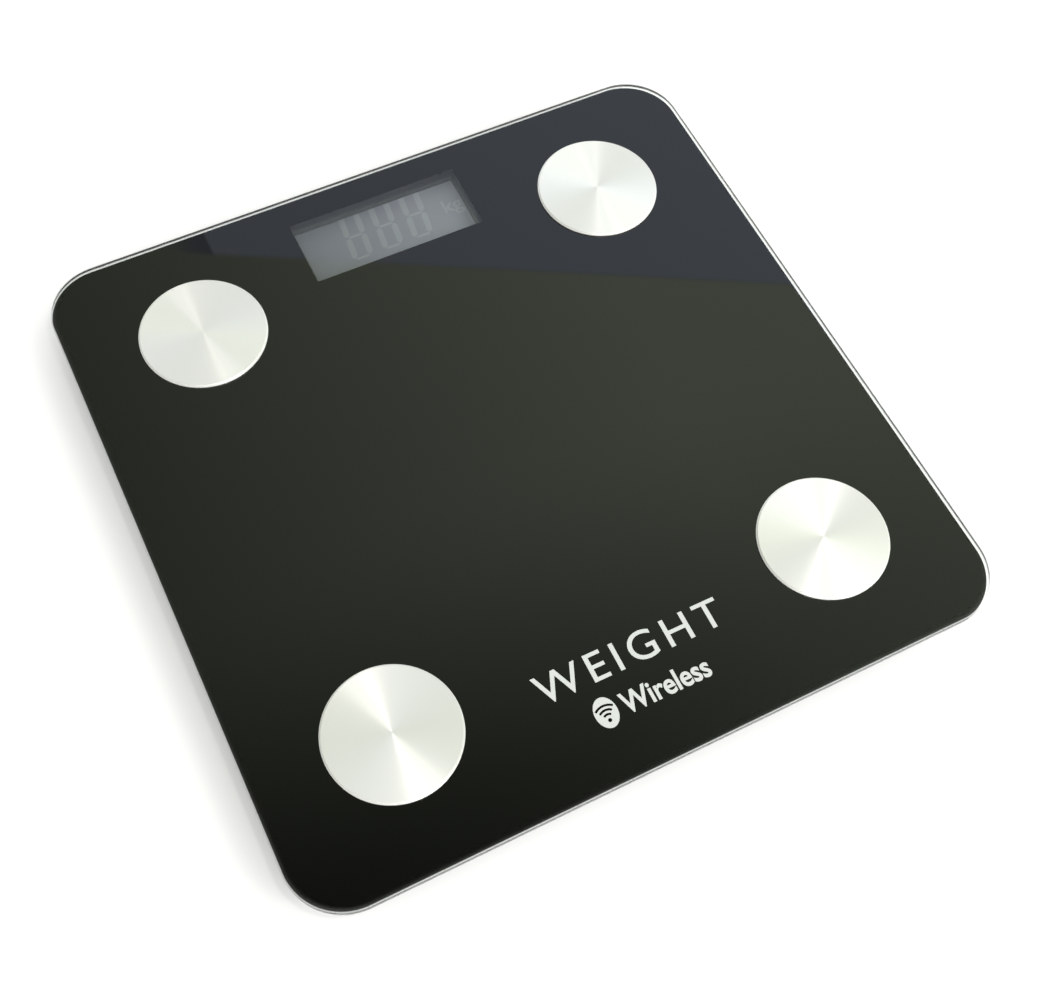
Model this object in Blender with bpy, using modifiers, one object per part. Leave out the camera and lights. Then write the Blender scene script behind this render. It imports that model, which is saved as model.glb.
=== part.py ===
"""Digital bathroom scale: a glass platform with four steel electrodes on a moulded base shell.

The base shell holds four load-cell feet, the display board and the battery bay.
Metres, +Z up. The origin is on the floor under the middle of the platform, and +Y points to the display.
"""

import math

import bmesh
import bpy
from mathutils import Matrix, Vector

# Platform
GLASS_SIDE = 0.300
GLASS_THICK = 0.004
GLASS_TOP = 0.0235
GLASS_CORNER = 0.024
GLASS_CHAMFER = 0.0005
GLASS_UNDER = GLASS_TOP - GLASS_THICK
GAP = 0.0001  # between faces that touch on the real object

# Electrodes
ELECTRODE_RADIUS = 0.027
ELECTRODE_THICK = 0.0011
ELECTRODE_X = 0.094
ELECTRODE_Y = {"front": -0.096, "rear": 0.098}
STUD_RADIUS = 0.0015
STUD_END = GLASS_UNDER - 0.0032
STUD_HOLE = 0.0025
NUT_ACROSS = 0.0055
RING_RADIUS = 0.0046

# Base shell
BASE_SIDE = 0.280
BASE_BOTTOM = 0.004
BASE_TOP = 0.0189
BASE_FLOOR = 0.0056
BASE_WALL = 0.002
BASE_CORNER = 0.024
BASE_FILLET = 0.003
FLANGE_WIDTH = 0.010
FLANGE_UNDER = 0.0174
RIB_THICK = 0.0015
RIB_TOP = 0.0095

# Feet: each well is concentric with a corner of the base
WELL_AT = BASE_SIDE / 2 - BASE_CORNER
WELL_BORE = 0.022
WELL_CEILING = 0.0131
WELL_TOP = 0.0151
CELL_SIDE = 0.030
CELL_UNDER = 0.011
CELL_THICK = 0.002
FOOT_RADIUS = 0.0195
FOOT_OPENING = 0.0206
FOOT_FLANGE = 0.0212
FOOT_TRAVEL = 0.0004
PAD_RADIUS = 0.017
PAD_THICK = 0.0022

# Display
WINDOW_SIZE = (0.079, 0.0324)
WINDOW_Y = 0.1205
LCD_TOP = GLASS_UNDER - 0.0065
LCD_THICK = 0.002
LCD_SIZE = (0.082, 0.034)
LCD_Y = 0.1196
LIP_SIZE = (0.0764, 0.0293)
NOTCH_HALF_X = 0.044
NOTCH_Y = 0.128
FRAME_LOW = (-0.0425, 0.1012)
FRAME_HIGH = (0.0425, 0.1378)
BOARD_LOW = (-0.048, 0.084)
BOARD_HIGH = (0.048, 0.1375)
BOARD_UNDER = 0.0082
BOARD_THICK = 0.0012
BOARD_TOP = BOARD_UNDER + BOARD_THICK
SCREW_AT = (0.0453, 0.112)

# Unit button
BUTTON_AT = (0.033, 0.092)
BUTTON_RADIUS = 0.0042
BUTTON_TRAVEL = 0.0005

# Battery bay: three AAA cells, side by side along X
CELLS = 3
BATTERY_RADIUS = 0.00525
BATTERY_PITCH = 0.0116
BATTERY_BODY = 0.0427
BATTERY_NUB = 0.0018
BAY_HALF_X = 0.0255
BAY_Y = (0.042, 0.078)
BAY_WALL = 0.0032
BAY_CEILING = 0.0167
BAY_MIDDLE_Y = sum(BAY_Y) / 2
CONTACT_THICK = 0.0004
CONTACT_FACE = BAY_HALF_X - GAP - CONTACT_THICK
BATTERY_Z = BAY_CEILING - GAP - BATTERY_RADIUS
BATTERY_SHIFT = CONTACT_FACE - GAP - (BATTERY_BODY + BATTERY_NUB) / 2
MOUTH_X = BAY_HALF_X + 0.002
DOOR_X = (-MOUTH_X + 0.0017, MOUTH_X - 0.0004)
DOOR_TOP = 0.0055
DOOR_AXIS = (-MOUTH_X + GAP, BASE_FLOOR + GAP)  # x and z of the line that the tongues turn about
TONGUE_Y = 0.011
TONGUE_WIDTH = 0.007
LATCH_WIDTH = 0.010

CORNERS = {"front_left": (-1, -1), "front_right": (1, -1), "rear_left": (-1, 1), "rear_right": (1, 1)}

PARTS = bpy.data.collections.new("bathroom_scale")
CUTTERS = bpy.data.collections.new("cutters")


# ---------------------------------------------------------------- shapes


def clear_scene():
    for old in list(bpy.data.objects):
        bpy.data.objects.remove(old)
    for collection in (PARTS, CUTTERS):
        bpy.context.scene.collection.children.link(collection)


def finish(name, colour, roughness=0.5, metallic=0.0):
    """A plain Principled material, made once for each name."""
    if name in bpy.data.materials:
        return bpy.data.materials[name]
    material = bpy.data.materials.new(name)
    material.use_nodes = True
    shader = material.node_tree.nodes["Principled BSDF"]
    shader.inputs["Base Color"].default_value = (*colour, 1.0)
    shader.inputs["Roughness"].default_value = roughness
    shader.inputs["Metallic"].default_value = metallic
    return material


def add(name, mesh, material, collection=PARTS):
    thing = bpy.data.objects.new(name, mesh)
    if material:
        mesh.materials.append(material)
    collection.objects.link(thing)
    return thing


def helper(thing):
    """Turns an object into a cutter or a joined lump, which isn't a part itself."""
    thing.hide_render = True
    thing.display_type = "WIRE"
    return thing


def mesh_of(bm, name):
    bmesh.ops.recalc_face_normals(bm, faces=bm.faces)
    mesh = bpy.data.meshes.new(name)
    bm.to_mesh(mesh)
    bm.free()
    return mesh


def block_mesh(name, low, high, corner=0.0, segments=8):
    """A box from corner to corner, with its upright edges rounded to a radius."""
    bm = bmesh.new()
    bmesh.ops.create_cube(bm, size=1.0)
    low, high = Vector(low), Vector(high)
    bmesh.ops.scale(bm, vec=high - low, verts=bm.verts)
    bmesh.ops.translate(bm, vec=(low + high) / 2, verts=bm.verts)
    if corner:
        upright = [e for e in bm.edges if abs(e.verts[0].co.z - e.verts[1].co.z) > 1e-6]
        bmesh.ops.bevel(bm, geom=upright, offset=corner, segments=segments, profile=0.5, affect="EDGES")
    return mesh_of(bm, name)


def soften_level(mesh, level, width, segments):
    """Bevels the outline of a block at the height given."""
    bm = bmesh.new()
    bm.from_mesh(mesh)
    rim = [e for e in bm.edges if all(abs(v.co.z - level) < 1e-6 for v in e.verts)]
    bmesh.ops.bevel(bm, geom=rim, offset=width, segments=segments, profile=0.5, affect="EDGES")
    bm.to_mesh(mesh)
    bm.free()


def block(name, low, high, material, corner=0.0, segments=8):
    return add(name, block_mesh(name, low, high, corner, segments), material)


def block_tool(name, low, high, corner=0.0, segments=8):
    return helper(add(name, block_mesh(name, low, high, corner, segments), None, CUTTERS))


def drum_mesh(name, radius, low, high, at, sides):
    bm = bmesh.new()
    bmesh.ops.create_cone(
        bm, cap_ends=True, segments=sides, radius1=radius, radius2=radius, depth=high - low
    )
    bmesh.ops.translate(bm, vec=(at[0], at[1], (low + high) / 2), verts=bm.verts)
    return mesh_of(bm, name)


def drum(name, radius, low, high, at, material, sides=24):
    return add(name, drum_mesh(name, radius, low, high, at, sides), material)


def drum_tool(name, radius, low, high, at, sides=32):
    return helper(add(name, drum_mesh(name, radius, low, high, at, sides), None, CUTTERS))


def turned(name, profile, material, steps):
    """A solid of revolution about its own Z, from (radius, height) points down its outer side."""
    mesh = bpy.data.meshes.new(name)
    points = [(radius, 0.0, height) for radius, height in profile]
    mesh.from_pydata(points, [(i, i + 1) for i in range(len(points) - 1)], [])
    thing = add(name, mesh, material)
    screw = thing.modifiers.new("turn", "SCREW")
    screw.steps = screw.render_steps = steps
    screw.use_merge_vertices = True
    screw.merge_threshold = 0.00001
    return thing


def combine(target, tool, operation="DIFFERENCE"):
    boolean = target.modifiers.new(tool.name, "BOOLEAN")
    boolean.operation = operation
    boolean.object = tool
    return target


def set_origin(thing, point):
    thing.data.transform(Matrix.Translation(-Vector(point)))
    thing.location = point


def hang_on(thing, empty):
    """Parents an object to an empty and leaves it where it is."""
    bpy.context.view_layer.update()
    thing.parent = empty
    thing.matrix_parent_inverse = empty.matrix_world.inverted()


def axis_empty(name, at):
    empty = bpy.data.objects.new(name, None)
    empty.location = at
    PARTS.objects.link(empty)
    return empty


def smooth_route(stations, count):
    """Count points along a Catmull-Rom curve through the stations."""
    points = [Vector(s) for s in stations]
    points = [2 * points[0] - points[1], *points, 2 * points[-1] - points[-2]]
    spans = len(points) - 3
    route = []
    for i in range(count):
        along = i * spans / (count - 1)
        span = min(int(along), spans - 1)
        t = along - span
        a, b, c, d = points[span : span + 4]
        route.append(
            0.5 * (2 * b + (c - a) * t + (2 * a - 5 * b + 4 * c - d) * t**2 + (3 * b - a - 3 * c + d) * t**3)
        )
    return route


def wire_curve(name, route, radius, material):
    curve = bpy.data.curves.new(name, "CURVE")
    curve.dimensions = "3D"
    curve.bevel_depth = radius
    curve.bevel_resolution = 2
    curve.use_fill_caps = True
    spline = curve.splines.new("POLY")
    spline.points.add(len(route) - 1)
    for point, place in zip(spline.points, route):
        point.co = (*place, 1.0)
    return add(name, curve, material)


def wire_mesh(name, route, radius):
    """The same wire as a closed mesh, for joining to another piece."""
    curve = wire_curve(name, route, radius, None)
    bpy.context.view_layer.update()
    graph = bpy.context.evaluated_depsgraph_get()
    mesh = bpy.data.meshes.new_from_object(curve.evaluated_get(graph))
    bpy.data.objects.remove(curve)
    bm = bmesh.new()
    bm.from_mesh(mesh)
    bmesh.ops.remove_doubles(bm, verts=bm.verts, dist=0.00001)
    bmesh.ops.recalc_face_normals(bm, faces=bm.faces)
    bm.to_mesh(mesh)
    bm.free()
    return helper(add(name, mesh, None, CUTTERS))


# ---------------------------------------------------------------- finishes

GLASS = finish("black_backed_glass", (0.02, 0.022, 0.02), 0.05)
STEEL = finish("spun_steel", (0.75, 0.75, 0.72), 0.3, 1.0)
SPRING_STEEL = finish("nickel_plate", (0.7, 0.68, 0.62), 0.35, 1.0)
SHELL = finish("black_abs", (0.03, 0.03, 0.032), 0.55)
RUBBER = finish("grey_rubber", (0.12, 0.12, 0.12), 0.9)
TAPE = finish("white_foam_tape", (0.8, 0.8, 0.78), 0.9)
BOARD = finish("green_board", (0.02, 0.16, 0.07), 0.4)
CHIP = finish("black_epoxy", (0.02, 0.02, 0.02), 0.35)
LCD = finish("grey_lcd", (0.25, 0.28, 0.28), 0.2)
DIFFUSER = finish("white_diffuser", (0.85, 0.85, 0.82), 0.6)
GREY = finish("grey_moulding", (0.2, 0.2, 0.21), 0.6)
CELL = finish("battery_sleeve", (0.1, 0.2, 0.35), 0.35)
RED = finish("red_insulation", (0.6, 0.04, 0.03), 0.5)
BLACK = finish("black_insulation", (0.02, 0.02, 0.02), 0.5)
WHITE = finish("white_insulation", (0.75, 0.75, 0.72), 0.5)


# ---------------------------------------------------------------- platform and electrodes


def electrode_place(corner):
    side, end = CORNERS[corner]
    return side * ELECTRODE_X, ELECTRODE_Y["front" if end < 0 else "rear"]


def build_glass():
    half = GLASS_SIDE / 2
    mesh = block_mesh(
        "glass_platform", (-half, -half, GLASS_UNDER), (half, half, GLASS_TOP), GLASS_CORNER, 12
    )
    for level in (GLASS_UNDER, GLASS_TOP):
        soften_level(mesh, level, GLASS_CHAMFER, 1)
    glass = add("glass_platform", mesh, GLASS)
    for corner in CORNERS:
        at = electrode_place(corner)
        low, high = GLASS_UNDER - 0.001, GLASS_TOP + 0.001
        combine(glass, drum_tool("stud_hole_" + corner, STUD_HOLE, low, high, at, 20))


def build_electrode(corner):
    """A thin steel disc with a stud on its back that passes through the glass."""
    bevel = 0.0004
    under = GLASS_TOP + 2 * GAP
    top = under + ELECTRODE_THICK
    profile = [
        (0.0, top),
        (ELECTRODE_RADIUS - bevel, top),
        (ELECTRODE_RADIUS, top - bevel),
        (ELECTRODE_RADIUS, under),
        (STUD_RADIUS, under),
        (STUD_RADIUS, STUD_END),
        (0.0, STUD_END),
    ]
    disc = turned("electrode_" + corner, profile, STEEL, 32)
    disc.location = (*electrode_place(corner), 0.0)


def build_electrode_fixing(corner, station_list):
    """The ring terminal with its wire, clamped under the glass by a nut on the stud."""
    at = electrode_place(corner)
    ring_top = GLASS_UNDER - GAP
    ring_under = ring_top - 0.0006
    bore = STUD_RADIUS + 0.0002
    lead = drum("electrode_lead_" + corner, RING_RADIUS, ring_under, ring_top, at, SPRING_STEEL, 20)
    side = CORNERS[corner][0]
    stations = [(side * x, y, z) for x, y, z in station_list]
    combine(lead, wire_mesh("lead_wire_" + corner, smooth_route(stations, 14), 0.0006), "UNION")
    combine(lead, drum_tool("ring_bore_" + corner, bore, STUD_END, GLASS_TOP, at, 20))
    nut_top = ring_under - GAP
    nut_radius = NUT_ACROSS / 2 / math.cos(math.pi / 6)
    nut = drum("electrode_nut_" + corner, nut_radius, nut_top - 0.0018, nut_top, at, SPRING_STEEL, 6)
    combine(nut, drum_tool("nut_bore_" + corner, bore, STUD_END - 0.001, GLASS_UNDER, at, 20))


def build_bonding_tape():
    """The foam tape that holds the glass on the base shell's rim, open where the display sits."""
    outer, inner = BASE_SIDE / 2 - 0.001, BASE_SIDE / 2 - FLANGE_WIDTH + 0.0005
    low, high = BASE_TOP + GAP / 2, GLASS_UNDER - GAP / 2
    tape = block("bonding_tape", (-outer, -outer, low), (outer, outer, high), TAPE, BASE_CORNER - 0.001)
    middle = block_tool(
        "tape_middle", (-inner, -inner, 0.01), (inner, inner, 0.03), BASE_CORNER - FLANGE_WIDTH
    )
    combine(tape, middle)
    notch = block_tool("tape_notch", (-NOTCH_HALF_X, NOTCH_Y, 0.01), (NOTCH_HALF_X, 0.145, 0.03))
    combine(tape, notch)


# ---------------------------------------------------------------- base shell


def bay_outside(name, low_z, high_z):
    x = BAY_HALF_X + BAY_WALL
    return block_tool(name, (-x, BAY_Y[0] - BAY_WALL, low_z), (x, BAY_Y[1] + BAY_WALL, high_z))


def build_lower_cavity():
    """The hollow under the flange, less what stands up inside it."""
    inner = BASE_SIDE / 2 - BASE_WALL
    low = BASE_FLOOR - 0.001
    corner = BASE_CORNER - BASE_WALL
    cavity = block_tool(
        "lower_cavity", (-inner, -inner, BASE_FLOOR), (inner, inner, FLANGE_UNDER), corner
    )
    for corner, (side, end) in CORNERS.items():
        at = (side * WELL_AT, end * WELL_AT)
        combine(cavity, drum_tool("well_" + corner, BASE_CORNER + 0.0005, low, WELL_TOP, at, 36))
    combine(cavity, bay_outside("bay_lower", low, BASE_TOP))
    for name, side in (("left", -1), ("right", 1)):
        at = (side * SCREW_AT[0], SCREW_AT[1])
        combine(cavity, drum_tool("boss_" + name, 0.0024, low, BOARD_UNDER - GAP, at, 20))
    half = RIB_THICK / 2
    for x in (-0.055, 0.0, 0.055):
        combine(cavity, block_tool(f"long_rib_{x}", (x - half, -0.139, low), (x + half, 0.036, RIB_TOP)))
    for y in (-0.075, -0.02, 0.0365):
        combine(cavity, block_tool(f"cross_rib_{y}", (-0.139, y - half, low), (0.139, y + half, RIB_TOP)))
    return cavity


def build_upper_opening():
    """The mouth inside the flange, less the ceiling of the battery bay."""
    mouth = BASE_SIDE / 2 - FLANGE_WIDTH
    opening = block_tool(
        "upper_opening",
        (-mouth, -mouth, FLANGE_UNDER - 0.0001),
        (mouth, mouth, BASE_TOP + 0.001),
        BASE_CORNER - FLANGE_WIDTH,
    )
    return combine(opening, bay_outside("bay_upper", 0.01, BAY_CEILING + 0.0015))


def build_base_shell():
    half = BASE_SIDE / 2
    mesh = block_mesh("base_shell", (-half, -half, BASE_BOTTOM), (half, half, BASE_TOP), BASE_CORNER, 12)
    soften_level(mesh, BASE_BOTTOM, BASE_FILLET, 4)
    shell = add("base_shell", mesh, SHELL)
    combine(shell, build_lower_cavity())
    combine(shell, build_upper_opening())
    notch_low, notch_high = (-NOTCH_HALF_X, NOTCH_Y, 0.0094), (NOTCH_HALF_X, half - BASE_WALL, 0.03)
    combine(shell, block_tool("display_notch", notch_low, notch_high))
    for corner, (side, end) in CORNERS.items():
        at = (side * WELL_AT, end * WELL_AT)
        combine(shell, drum_tool("well_bore_" + corner, WELL_BORE, BASE_FLOOR, WELL_CEILING, at, 32))
        combine(shell, drum_tool("foot_hole_" + corner, FOOT_OPENING, 0.0, BASE_FLOOR + 0.001, at, 32))
        combine(shell, drum_tool("gauge_hole_" + corner, 0.009, WELL_CEILING - 0.001, 0.02, at, 20))
    cut_battery_bay(shell)
    combine(shell, drum_tool("button_hole", BUTTON_RADIUS + 0.0004, 0.0, 0.007, BUTTON_AT, 24))
    combine(shell, drum_tool("button_dish", 0.008, 0.0, BASE_BOTTOM + 0.0005, BUTTON_AT, 32))
    combine(shell, block_tool("label_dish", (-0.035, -0.066, 0.0), (0.035, -0.030, 0.0043), 0.003, 4))
    for name, side in (("left", -1), ("right", 1)):
        at = (side * SCREW_AT[0], SCREW_AT[1])
        combine(shell, drum_tool("pilot_" + name, 0.0012, 0.005, 0.01, at, 16))


def cut_battery_bay(shell):
    low_y, high_y = BAY_Y
    hollow = block_tool("bay_hollow", (-BAY_HALF_X, low_y, 0.005), (BAY_HALF_X, high_y, BAY_CEILING))
    combine(shell, hollow)
    mouth_low, mouth_high = low_y - 0.002, high_y + 0.002
    mouth_top = BASE_FLOOR + 0.0002
    combine(shell, block_tool("door_mouth", (-MOUTH_X, mouth_low, 0.0), (MOUTH_X, mouth_high, mouth_top)))
    hook = -BAY_HALF_X
    for name, side in (("low", -1), ("high", 1)):
        middle = BAY_MIDDLE_Y + side * TONGUE_Y
        half = TONGUE_WIDTH / 2 + 0.0005
        slot = block_tool(
            "tongue_slot_" + name,
            (hook - 0.0055, middle - half, BASE_FLOOR),
            (hook + 0.0015, middle + half, 0.0098),
        )
        combine(shell, slot)
    half = LATCH_WIDTH / 2 + 0.0005
    near, far = BAY_MIDDLE_Y - half, BAY_MIDDLE_Y + half
    wall = BAY_HALF_X
    combine(shell, block_tool("latch_slot", (wall, near, BASE_FLOOR), (wall + 0.0055, far, 0.0125)))
    combine(shell, block_tool("latch_mouth", (wall + 0.001, near, 0.0), (wall + 0.0075, far, 0.007)))


# ---------------------------------------------------------------- load cells and feet


def build_load_cell(corner):
    """A stamped steel plate whose middle tongue bends as the foot pushes on it."""
    side, end = CORNERS[corner]
    x, y = side * WELL_AT, end * WELL_AT
    half = CELL_SIDE / 2
    low, high = CELL_UNDER, CELL_UNDER + CELL_THICK
    cell = block(
        "load_cell_" + corner, (x - half, y - half, low), (x + half, y + half, high), STEEL, 0.003, 3
    )
    window, tongue, slot = 0.009, 0.0055, 0.002
    reach = end * (window - slot)
    cut_low, cut_high = low - 0.001, high + 0.001
    ends = sorted((y - end * window, y + end * window))
    low_end, high_end = (x - window, ends[0], cut_low), (x + window, ends[1], cut_high)
    cutter = block_tool("cell_window_" + corner, low_end, high_end)
    ends = sorted((y - 2 * end * window, y + reach))
    keep = block_tool("cell_tongue_" + corner, (x - tongue, ends[0], 0.0), (x + tongue, ends[1], 0.03))
    combine(cell, combine(cutter, keep))
    ends = sorted((y - end * 0.0045, y - end * 0.0005))
    block(
        "strain_gauge_" + corner,
        (x - 0.0035, ends[0], high + GAP),
        (x + 0.0035, ends[1], high + 0.0005),
        WHITE,
        0.0005,
        2,
    )


def build_foot(corner):
    """The plastic cap that carries the corner, with its rubber pad, on the axis it moves along."""
    side, end = CORNERS[corner]
    axis = axis_empty("foot_axis_" + corner, (side * WELL_AT, end * WELL_AT, 0.0))
    post_top = CELL_UNDER - FOOT_TRAVEL - GAP
    profile = [
        (0.0, post_top),
        (0.005, post_top),
        (0.005, 0.0045),
        (FOOT_RADIUS - 0.002, 0.0045),
        (FOOT_RADIUS - 0.002, 0.0092),
        (FOOT_RADIUS, 0.0092),
        (FOOT_RADIUS, 0.0076),
        (FOOT_FLANGE, 0.0076),
        (FOOT_FLANGE, 0.0061),
        (FOOT_RADIUS, 0.0061),
        (FOOT_RADIUS, 0.0018),
        (FOOT_RADIUS - 0.0006, 0.0012),
        (PAD_RADIUS + 0.0003, 0.0012),
        (PAD_RADIUS + 0.0003, PAD_THICK + GAP),
        (0.0, PAD_THICK + GAP),
    ]
    cap = turned("foot_cap_" + corner, profile, SHELL, 24)
    cap.location = axis.location
    hang_on(cap, axis)
    bevel = 0.0004
    profile = [
        (0.0, PAD_THICK),
        (PAD_RADIUS, PAD_THICK),
        (PAD_RADIUS, bevel),
        (PAD_RADIUS - bevel, 0.0),
        (0.0, 0.0),
    ]
    pad = turned("foot_pad_" + corner, profile, RUBBER, 24)
    pad.location = axis.location
    hang_on(pad, axis)


def build_cell_lead(corner, station_list):
    side = CORNERS[corner][0]
    stations = [(side * x, y, z) for x, y, z in station_list]
    wire_curve("cell_lead_" + corner, smooth_route(stations, 16), 0.0007, RED)


# ---------------------------------------------------------------- display board


def build_board():
    board = block("main_board", (*BOARD_LOW, BOARD_UNDER), (*BOARD_HIGH, BOARD_TOP), BOARD, 0.001, 2)
    for name, side in (("left", -1), ("right", 1)):
        at = (side * SCREW_AT[0], SCREW_AT[1])
        combine(board, drum_tool("board_hole_" + name, 0.0014, 0.0, 0.02, at, 16))
        build_board_screw(name, at)
    block("main_chip", (-0.0255, 0.0865, BOARD_TOP + GAP), (-0.0145, 0.0975, BOARD_TOP + 0.0016), CHIP)
    block("radio_module", (0.004, 0.0865, BOARD_TOP + GAP), (0.020, 0.0975, BOARD_TOP + 0.002), STEEL)
    build_switch_and_button()


def build_board_screw(name, at):
    head = BOARD_TOP + GAP
    shank = 0.0010
    profile = [
        (0.0, head + 0.0012),
        (0.0014, head + 0.0012),
        (0.0022, head + 0.0005),
        (0.0022, head),
        (shank, head),
        (shank, 0.0058),
        (0.0, 0.0052),
    ]
    screw = turned("board_screw_" + name, profile, SPRING_STEEL, 12)
    screw.location = (*at, 0.0)


def build_switch_and_button():
    """The tact switch under the board, and the button that pushes its plunger up."""
    x, y = BUTTON_AT
    half = 0.003
    switch = block("unit_switch", (x - half, y - half, 0.007), (x + half, y + half, BOARD_UNDER - GAP), CHIP)
    combine(switch, drum_tool("plunger_hole", 0.0019, 0.0, BOARD_UNDER - 2 * GAP, BUTTON_AT, 20))
    axis = axis_empty("button_axis", (x, y, 0.0))
    flange_low, flange_high = BASE_FLOOR + GAP, 0.0063
    profile = [
        (0.0, flange_high),
        (0.0055, flange_high),
        (0.0055, flange_low),
        (BUTTON_RADIUS, flange_low),
        (BUTTON_RADIUS, BASE_BOTTOM + 0.0006),
        (BUTTON_RADIUS - 0.0005, BASE_BOTTOM + 0.0001),
        (0.0, BASE_BOTTOM + 0.0001),
    ]
    button = turned("unit_button", profile, GREY, 20)
    button.location = axis.location
    hang_on(button, axis)
    plunger_top = BOARD_UNDER - 2 * GAP - BUTTON_TRAVEL - GAP
    plunger = drum("switch_plunger", 0.0015, flange_high + GAP, plunger_top, (0.0, 0.0), WHITE, 20)
    plunger.location = axis.location
    hang_on(plunger, axis)


def build_display():
    """The LCD with its backlight and zebra strip, in a frame that reaches up to the window."""
    frame = block("lcd_frame", (*FRAME_LOW, BOARD_TOP + GAP), (*FRAME_HIGH, GLASS_UNDER - 0.0003), GREY)
    x, y = (size / 2 + 0.0003 for size in LCD_SIZE)
    pocket = block_tool("lcd_pocket", (-x, LCD_Y - y, 0.0), (x, LCD_Y + y, LCD_TOP + GAP))
    combine(frame, pocket)
    x, y = (size / 2 for size in LIP_SIZE)
    combine(frame, block_tool("lcd_lip", (-x, WINDOW_Y - y, 0.0), (x, WINDOW_Y + y, 0.03)))
    x, y = (size / 2 + 0.0001 for size in WINDOW_SIZE)
    above_lip = LCD_TOP + 0.0009
    combine(frame, block_tool("window_well", (-x, WINDOW_Y - y, above_lip), (x, WINDOW_Y + y, 0.03)))
    x, y = (size / 2 for size in LCD_SIZE)
    under = LCD_TOP - LCD_THICK
    block("lcd_panel", (-x, LCD_Y - y, under), (x, LCD_Y + y, LCD_TOP), LCD)
    low, high = BOARD_TOP + GAP, under - GAP
    strip = 0.0025
    block("lcd_backlight", (-x, LCD_Y - y + strip, low), (x, LCD_Y + y, high), DIFFUSER)
    block(
        "zebra_strip", (-0.035, LCD_Y - y + GAP, low), (0.035, LCD_Y - y + strip - 2 * GAP, high), RUBBER
    )


# ---------------------------------------------------------------- batteries


def cell_y(index):
    return BAY_MIDDLE_Y + (index - (CELLS - 1) / 2) * BATTERY_PITCH


def battery_way(index):
    """The way the positive end points along X: it turns round from cell to cell."""
    return -1 if index % 2 else 1


def build_battery(index):
    """An AAA cell lying along X."""
    half = (BATTERY_BODY + BATTERY_NUB) / 2
    shoulder = half - BATTERY_NUB
    profile = [
        (0.0, half),
        (0.0019, half),
        (0.0019, shoulder),
        (BATTERY_RADIUS - 0.0005, shoulder),
        (BATTERY_RADIUS, shoulder - 0.0005),
        (BATTERY_RADIUS, -half + 0.0005),
        (BATTERY_RADIUS - 0.0005, -half),
        (0.0, -half),
    ]
    battery = turned(f"battery_{index + 1}", profile, CELL, 16)
    way = battery_way(index)
    battery.rotation_euler = (0.0, way * math.pi / 2, 0.0)
    battery.location = (way * BATTERY_SHIFT, cell_y(index), BATTERY_Z)


def build_battery_spring(index):
    """The conical spring at a cell's negative end, wound from poly points."""
    way = battery_way(index)
    turns, steps, wire = 3.5, 8, 0.0003
    start_x = CONTACT_FACE - wire - GAP
    cell_end = (BATTERY_BODY + BATTERY_NUB) / 2 - BATTERY_SHIFT
    length = start_x - cell_end - wire - GAP
    route = []
    for i in range(int(turns * steps) + 1):
        share = i / (turns * steps)
        angle = 2 * math.pi * i / steps
        radius = 0.0040 - 0.0018 * share
        x = -start_x + length * share
        y = cell_y(index) + radius * math.cos(angle)
        route.append((way * x, y, BATTERY_Z + radius * math.sin(angle)))
    wire_curve(f"battery_spring_{index + 1}", route, wire, SPRING_STEEL)


def build_contact(name, side, low_y, high_y):
    """A stamped plate at an end of the bay."""
    half = 0.0048
    ends = sorted((side * CONTACT_FACE, side * (CONTACT_FACE + CONTACT_THICK)))
    block(
        "battery_contact_" + name,
        (ends[0], low_y - half, BATTERY_Z - 0.0040),
        (ends[1], high_y + half, BATTERY_Z + 0.0048),
        SPRING_STEEL,
    )


def build_battery_door():
    """The lid under the cells: two tongues hook over the floor, and a sprung latch holds the other end."""
    low_y, high_y = BAY_Y[0] - 0.0016, BAY_Y[1] + 0.0016
    door = block("battery_door", (DOOR_X[0], low_y, BASE_BOTTOM), (DOOR_X[1], high_y, DOOR_TOP), SHELL)
    overlap = 0.0005
    edge = DOOR_X[0]
    tongue_top = BASE_FLOOR + 0.0012
    for name, side in (("low", -1), ("high", 1)):
        middle = BAY_MIDDLE_Y + side * TONGUE_Y
        near, far = middle - TONGUE_WIDTH / 2, middle + TONGUE_WIDTH / 2
        root_low, root_high = (edge, near, DOOR_TOP - overlap), (edge + 0.0016, far, tongue_top)
        tip_low, tip_high = (edge - 0.0043, near, BASE_FLOOR + 2 * GAP), (edge + 0.0008, far, tongue_top)
        combine(door, block_tool("tongue_root_" + name, root_low, root_high), "UNION")
        combine(door, block_tool("tongue_tip_" + name, tip_low, tip_high), "UNION")
    near, far = BAY_MIDDLE_Y - LATCH_WIDTH / 2, BAY_MIDDLE_Y + LATCH_WIDTH / 2
    wall = BAY_HALF_X
    latch = (
        ("rise", (wall + 0.0004, near, DOOR_TOP - overlap), (wall + 0.0014, far, 0.0110)),
        ("bend", (wall + 0.0004, near, 0.0100), (wall + 0.0046, far, 0.0110)),
        ("fall", (wall + 0.0036, near, 0.0046), (wall + 0.0046, far, 0.0105)),
        ("tab", (wall + 0.0036, near, BASE_BOTTOM), (wall + 0.0065, far, 0.0050)),
    )
    for name, low, high in latch:
        combine(door, block_tool("latch_" + name, low, high), "UNION")
    set_origin(door, (DOOR_AXIS[0], BAY_MIDDLE_Y, DOOR_AXIS[1]))


def build_batteries():
    for index in range(CELLS):
        build_battery(index)
        build_battery_spring(index)
    build_contact("plus", 1, cell_y(2), cell_y(2))
    build_contact("bridge_right", 1, cell_y(0), cell_y(1))
    build_contact("bridge_left", -1, cell_y(1), cell_y(2))
    build_contact("minus", -1, cell_y(0), cell_y(0))
    build_battery_door()
    wire_curve("battery_lead_red", smooth_route(PLUS_ROUTE, 14), 0.0006, RED)
    wire_curve("battery_lead_black", smooth_route(MINUS_ROUTE, 16), 0.0006, BLACK)


# ---------------------------------------------------------------- the whole scale

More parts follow.
